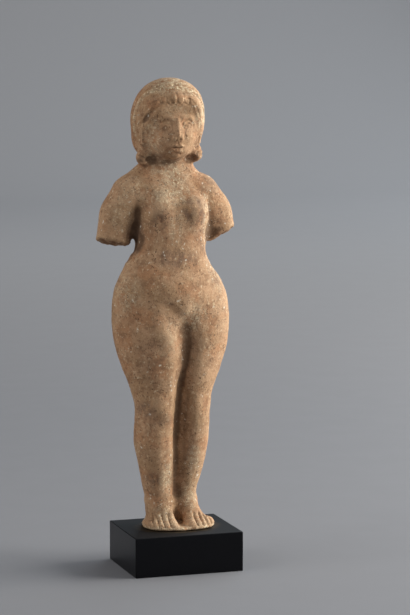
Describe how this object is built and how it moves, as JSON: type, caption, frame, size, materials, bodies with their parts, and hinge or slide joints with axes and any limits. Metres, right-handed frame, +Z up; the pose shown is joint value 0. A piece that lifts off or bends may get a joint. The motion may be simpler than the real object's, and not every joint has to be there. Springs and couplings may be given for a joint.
{
  "type": "terracotta statuette",
  "caption": "Moulded terracotta statuette of a standing nude woman, arms broken above the elbow, on a plain black display block.",
  "frame": {"origin": "centre of the block's underside, on the surface that it stands on", "axes": "+Z up along the standing figure, -Y out of the front, which the figure faces, and the figure's left hand side towards +X"},
  "size_m": [0.0717, 0.047, 0.2454],
  "materials": {
    "fired_clay": "matt unglazed fired clay, buff to orange brown, worn and speckled",
    "black_paint": "satin black paint"
  },
  "bodies": {
    "root": {"terracotta_statuette": "fired_clay", "black_block": "black_paint"}
  },
  "joints": []
}
